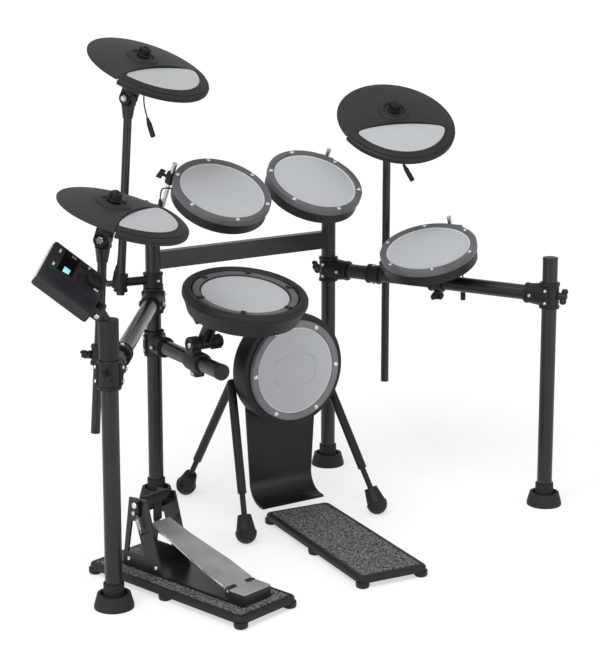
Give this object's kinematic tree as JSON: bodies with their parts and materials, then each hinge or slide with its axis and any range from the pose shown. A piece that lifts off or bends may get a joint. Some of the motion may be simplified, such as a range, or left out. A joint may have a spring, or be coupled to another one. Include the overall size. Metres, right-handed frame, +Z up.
{
  "type": "electronic drum kit",
  "caption": "Electronic drum kit with mesh drum pads, pad cymbals, a kick tower, a foot pedal and a sound module on a folding tube rack.",
  "frame": {"origin": "middle of the kit's footprint, on the floor", "axes": "+Z up, +X along the rear bar from the crash side to the ride side, the player sits at -Y"},
  "size_m": [1.4354, 0.9345, 1.1848],
  "materials": {
    "black_steel": "satin black powder coat",
    "black_plastic": "black glass-filled nylon",
    "black_rubber": "matt black rubber",
    "pad_shell": "black moulded shell",
    "pad_hoop": "mid-grey moulded hoop",
    "mesh": "light grey woven mesh",
    "cymbal_bow": "matt charcoal rubber",
    "bright_steel": "plated steel",
    "satin_metal": "satin cast aluminium",
    "carpet": "dark speckled carpet",
    "module_case": "charcoal moulded case",
    "lead": "black flexible sheath"
  },
  "bodies": {
    "rack": {"rear_frame": "black_steel", "rear_feet": "black_rubber", "rear_clamps": "black_plastic", "kick_stand": "black_steel", "kick_shell": "pad_shell", "kick_hoop": "pad_hoop", "kick_head": "mesh", "floor_trays": "black_plastic", "tray_mats": "carpet", "pedal_frame": "black_steel", "pedal_spring": "bright_steel"},
    "left_wing": {"left_arm": "black_steel", "left_front_post": "black_steel", "left_front_foot": "black_rubber", "left_clamps": "black_plastic"},
    "right_wing": {"right_arm": "black_steel", "right_front_post": "black_steel", "right_front_foot": "black_rubber", "right_clamps": "black_plastic"},
    "crash_pole": {"crash_pole": "black_steel"},
    "crash_tilter": {"crash_tilter": "black_plastic"},
    "crash_cymbal": {"crash_bow": "cymbal_bow", "crash_mesh": "mesh", "crash_lead": "lead"},
    "ride_pole": {"ride_pole": "black_steel"},
    "ride_tilter": {"ride_tilter": "black_plastic"},
    "ride_cymbal": {"ride_bow": "cymbal_bow", "ride_mesh": "mesh", "ride_lead": "lead"},
    "hihat_pole": {"hihat_pole": "black_steel"},
    "hihat_tilter": {"hihat_tilter": "black_plastic"},
    "hihat_cymbal": {"hihat_bow": "cymbal_bow", "hihat_mesh": "mesh", "hihat_lead": "lead"},
    "tom1": {"tom1_rod": "bright_steel", "tom1_shell": "pad_shell", "tom1_hoop": "pad_hoop", "tom1_head": "mesh", "tom1_lead": "lead"},
    "tom2": {"tom2_rod": "bright_steel", "tom2_shell": "pad_shell", "tom2_hoop": "pad_hoop", "tom2_head": "mesh"},
    "tom3": {"tom3_rod": "bright_steel", "tom3_shell": "pad_shell", "tom3_hoop": "pad_hoop", "tom3_head": "mesh", "tom3_lead": "lead"},
    "snare_arm": {"snare_arm": "black_steel"},
    "snare": {"snare_shell": "black_rubber", "snare_hoop": "pad_hoop", "snare_head": "mesh"},
    "kick_leg_front_left": {"kick_leg_front_left": "black_rubber"},
    "kick_leg_front_right": {"kick_leg_front_right": "black_rubber"},
    "kick_leg_rear_left": {"kick_leg_rear_left": "black_rubber"},
    "kick_leg_rear_right": {"kick_leg_rear_right": "black_rubber"},
    "footboard": {"footboard": "satin_metal"},
    "pedal_axle": {"pedal_axle": "black_plastic"},
    "module": {"module_case": "module_case"},
    "module_knob": {"module_knob": "black_plastic"}
  },
  "joints": [
    {"name": "left_wing_swivel", "type": "hinge", "parent": "rack", "child": "left_wing", "pos_m": [-0.14297, 0.37546, 0], "axis": [0, 0, 1], "range_deg": [-12, 2]},
    {"name": "right_wing_swivel", "type": "hinge", "parent": "rack", "child": "right_wing", "pos_m": [0.38803, 0.37546, 0], "axis": [0, 0, 1], "range_deg": [-4, 12]},
    {"name": "crash_height", "type": "slide", "parent": "rack", "child": "crash_pole", "axis": [0.0663, 0, 0.9978], "range_m": [-0.12, 0.015]},
    {"name": "crash_tilt", "type": "hinge", "parent": "crash_pole", "child": "crash_tilter", "pos_m": [-0.19789, 0.38547, 1.041], "axis": [0.9259, 0.3778, 0], "range_deg": [-18, 12]},
    {"name": "crash_rock", "type": "hinge", "parent": "crash_tilter", "child": "crash_cymbal", "pos_m": [-0.18304, 0.34908, 1.12529], "axis": [0.9485, 0.3154, -0.031], "range_deg": [-5, 5], "stiffness_Nm_per_rad": 12},
    {"name": "ride_height", "type": "slide", "parent": "right_wing", "child": "ride_pole", "axis": [0, 0, 1], "range_m": [-0.06, 0.06]},
    {"name": "ride_tilt", "type": "hinge", "parent": "ride_pole", "child": "ride_tilter", "pos_m": [0.5066, 0.27715, 0.8937], "axis": [0.9563, -0.2924, 0], "range_deg": [-18, 8]},
    {"name": "ride_rock", "type": "hinge", "parent": "ride_tilter", "child": "ride_cymbal", "pos_m": [0.49352, 0.23439, 0.96362], "axis": [0.9643, -0.2641, 0.0188], "range_deg": [-5, 5], "stiffness_Nm_per_rad": 12},
    {"name": "hihat_height", "type": "slide", "parent": "left_wing", "child": "hihat_pole", "axis": [0.0499, -0.032, 0.9982], "range_m": [-0.015, 0.08]},
    {"name": "hihat_tilt", "type": "hinge", "parent": "hihat_pole", "child": "hihat_tilter", "pos_m": [-0.48956, -0.0494, 0.7874], "axis": [0.7749, 0.632, 0], "range_deg": [-8, 8]},
    {"name": "hihat_rock", "type": "hinge", "parent": "hihat_tilter", "child": "hihat_cymbal", "pos_m": [-0.47654, -0.06537, 0.8501], "axis": [0.7665, 0.6422, 0.0044], "range_deg": [-5, 5], "stiffness_Nm_per_rad": 12},
    {"name": "tom1_tilt", "type": "hinge", "parent": "rack", "child": "tom1", "pos_m": [-0.14297, 0.37546, 0.757], "axis": [1, 0, 0], "range_deg": [-8, 8]},
    {"name": "tom2_tilt", "type": "hinge", "parent": "rack", "child": "tom2", "pos_m": [0.38803, 0.37546, 0.757], "axis": [1, 0, 0], "range_deg": [-8, 8]},
    {"name": "tom3_tilt", "type": "hinge", "parent": "right_wing", "child": "tom3", "pos_m": [0.53399, 0.08397, 0.585], "axis": [0.8942, 0.4478, 0], "range_deg": [-8, 8]},
    {"name": "snare_swivel", "type": "hinge", "parent": "rack", "child": "snare_arm", "pos_m": [-0.14297, 0.37546, 0], "axis": [0, 0, 1], "range_deg": [-6, 6]},
    {"name": "snare_tilt", "type": "hinge", "parent": "snare_arm", "child": "snare", "pos_m": [-0.14297, 0.0782, 0.56544], "axis": [1, 0, 0], "range_deg": [-8, 6]},
    {"name": "kick_leg_front_left_slide", "type": "slide", "parent": "rack", "child": "kick_leg_front_left", "axis": [-0.1577, -0.4459, -0.8811], "range_m": [-0.04, 0]},
    {"name": "kick_leg_front_right_slide", "type": "slide", "parent": "rack", "child": "kick_leg_front_right", "axis": [0.1577, -0.4459, -0.8811], "range_m": [-0.04, 0]},
    {"name": "kick_leg_rear_left_slide", "type": "slide", "parent": "rack", "child": "kick_leg_rear_left", "axis": [-0.0178, 0.5687, -0.8224], "range_m": [-0.04, 0]},
    {"name": "kick_leg_rear_right_slide", "type": "slide", "parent": "rack", "child": "kick_leg_rear_right", "axis": [0.0178, 0.5687, -0.8224], "range_m": [-0.04, 0]},
    {"name": "footboard_press", "type": "hinge", "parent": "rack", "child": "footboard", "pos_m": [-0.32833, -0.36008, 0.052], "axis": [0.9655, 0.2605, 0], "range_deg": [-9, 0], "stiffness_Nm_per_rad": 6, "springref_deg": 14.32},
    {"name": "pedal_axle_turn", "type": "hinge", "parent": "rack", "child": "pedal_axle", "pos_m": [-0.39958, -0.09603, 0.185], "axis": [0.9655, 0.2605, 0], "range_deg": [0, 12], "deforming": ["pedal_spring"]},
    {"name": "module_tilt", "type": "hinge", "parent": "left_wing", "child": "module", "pos_m": [-0.57564, -0.19822, 0.66558], "axis": [0.6153, 0.7445, 0.2589], "range_deg": [-12, 12]},
    {"name": "module_knob_turn", "type": "hinge", "parent": "module", "child": "module_knob", "pos_m": [-0.56375, -0.14639, 0.7165], "axis": [0.376, -0.5659, 0.7337], "range_deg": [-150, 150]}
  ],
  "couplings": [
    {"joint": "pedal_axle_turn", "follows": "footboard_press", "ratio": -1.3333}
  ]
}
